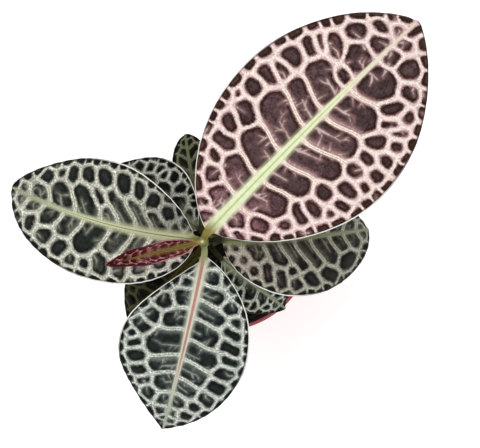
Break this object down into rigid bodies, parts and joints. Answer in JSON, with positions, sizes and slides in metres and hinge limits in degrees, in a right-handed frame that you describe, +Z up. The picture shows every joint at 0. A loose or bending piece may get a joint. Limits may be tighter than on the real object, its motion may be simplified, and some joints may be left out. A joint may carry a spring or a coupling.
{
  "type": "potted labisia",
  "caption": "Small house plant with netted, dark and silver leaves on a short stem, growing in soil in a round plastic nursery pot.",
  "frame": {"origin": "centre of the pot's flat base", "axes": "+Z up out of the pot; +Y towards the top of the picture, +X towards its right"},
  "size_m": [0.1825, 0.1826, 0.1438],
  "materials": {
    "pot_plastic": "moulded pink-red plastic, softly glossy, with fine scuffs",
    "soil": "damp black peat with crumbs and bark chips",
    "stem": "smooth olive-green herbaceous stem with leaf scars",
    "leaf_maroon": "satin leaf, dark maroon patches in a net of pinkish-white veins",
    "leaf_silver": "satin leaf, blackish green patches in a net of silver-green veins",
    "leaf_green": "satin leaf, dark green patches in a net of grey-green veins",
    "leaf_olive": "satin leaf, dark olive with pale green veins",
    "leaf_burgundy": "young folded leaf, burgundy with a fine net of pink veins"
  },
  "bodies": {
    "root": {"pot": "pot_plastic", "soil": "soil", "stem": "stem", "leaf_crown": "leaf_maroon", "leaf_left": "leaf_silver", "leaf_front": "leaf_silver", "leaf_right": "leaf_green", "leaf_back_left": "leaf_green", "leaf_low_right": "leaf_green", "leaf_low_left": "leaf_olive", "leaf_back": "leaf_olive", "leaf_young": "leaf_burgundy"}
  },
  "joints": []
}
